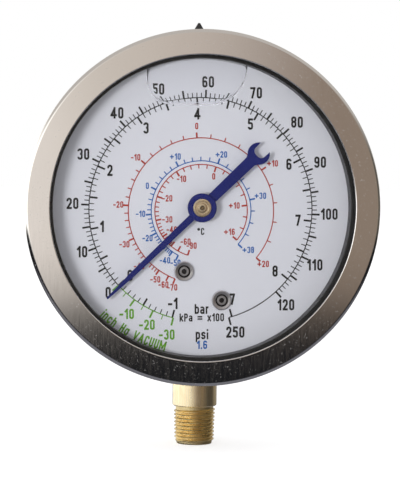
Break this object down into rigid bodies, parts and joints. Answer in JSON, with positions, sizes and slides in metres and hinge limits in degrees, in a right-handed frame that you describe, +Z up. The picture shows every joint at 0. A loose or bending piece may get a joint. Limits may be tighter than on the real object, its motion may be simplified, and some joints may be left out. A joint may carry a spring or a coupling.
{
  "type": "glycerine-filled pressure gauge",
  "caption": "Liquid-filled dial pressure gauge: round steel case with a rolled bezel and window, blue pointer, geared tube movement and a lower brass taper-thread stem.",
  "frame": {"origin": "centre of the connection thread's lower end, the lowest point of the gauge, on the stem's axis", "axes": "+Z up along the stem; the dial faces -Y and +X is to the reader's right; the dial's axis lies 60.5 mm above the origin"},
  "size_m": [0.087, 0.035, 0.1069],
  "materials": {
    "case_steel": "satin drawn stainless steel",
    "bezel_steel": "polished stainless steel with fine turning marks",
    "window_glass": "clear, polished",
    "black_rubber": "matte black",
    "dial_white": "satin white with printed scales",
    "screw_steel": "zinc-plated, satin",
    "pointer_blue": "satin navy blue",
    "turned_brass": "turned",
    "spring_bronze": "polished bronze strip",
    "plate_brass": "satin rolled sheet",
    "tube_bronze": "drawn bronze, slightly dulled",
    "stem_brass": "drawn and turned, bright",
    "plug_rubber": "matte black",
    "glycerine": "clear colourless liquid"
  },
  "bodies": {
    "root": {"case": "case_steel", "bezel_ring": "bezel_steel", "window": "window_glass", "window_gasket": "black_rubber", "dial_plate": "dial_white", "dial_screws": "screw_steel", "hairspring": "spring_bronze", "hairspring_stud": "turned_brass", "front_plate": "plate_brass", "back_plate": "plate_brass", "pillars": "turned_brass", "plate_screws": "screw_steel", "movement_screws": "screw_steel", "bourdon_tube": "tube_bronze", "stem_block": "stem_brass", "restrictor": "turned_brass", "stem_o_ring": "black_rubber", "stem_screws": "screw_steel", "filler_plug": "plug_rubber", "glycerine_front": "glycerine", "glycerine_rear": "glycerine"},
    "sector": {"sector_gear": "plate_brass", "sector_arbor": "screw_steel", "sector_link_pin": "screw_steel"},
    "pointer_shaft": {"pointer": "pointer_blue", "pointer_bush": "turned_brass", "pinion_arbor": "screw_steel", "hairspring_collet": "turned_brass"},
    "tube_end": {"tube_tip": "turned_brass", "tip_link_pin": "screw_steel"},
    "link": {"link": "plate_brass"}
  },
  "joints": [
    {"name": "sector_swing", "type": "hinge", "parent": "root", "child": "sector", "pos_m": [0.01131, 0, 0.04702], "axis": [0, 1, 0], "range_deg": [-33, 3.66], "stiffness_Nm_per_rad": 0.057},
    {"name": "pointer_spin", "type": "hinge", "parent": "root", "child": "pointer_shaft", "pos_m": [0, 0, 0.0605], "axis": [0, 1, 0], "range_deg": [-33, 297], "deforming": ["hairspring"]},
    {"name": "tube_flex", "type": "hinge", "parent": "root", "child": "tube_end", "pos_m": [0.00114, 0, 0.07483], "axis": [0, 1, 0], "range_deg": [-3.6, 0.41], "deforming": ["bourdon_tube"]},
    {"name": "link_swing", "type": "hinge", "parent": "tube_end", "child": "link", "pos_m": [0.02171, 0, 0.05032], "axis": [0, 1, 0], "range_deg": [-0.34, 2.94]}
  ],
  "couplings": [
    {"joint": "pointer_spin", "follows": "sector_swing", "ratio": -9},
    {"joint": "tube_flex", "follows": "sector_swing", "ratio": 0.1088},
    {"joint": "link_swing", "follows": "sector_swing", "ratio": -0.0887}
  ]
}
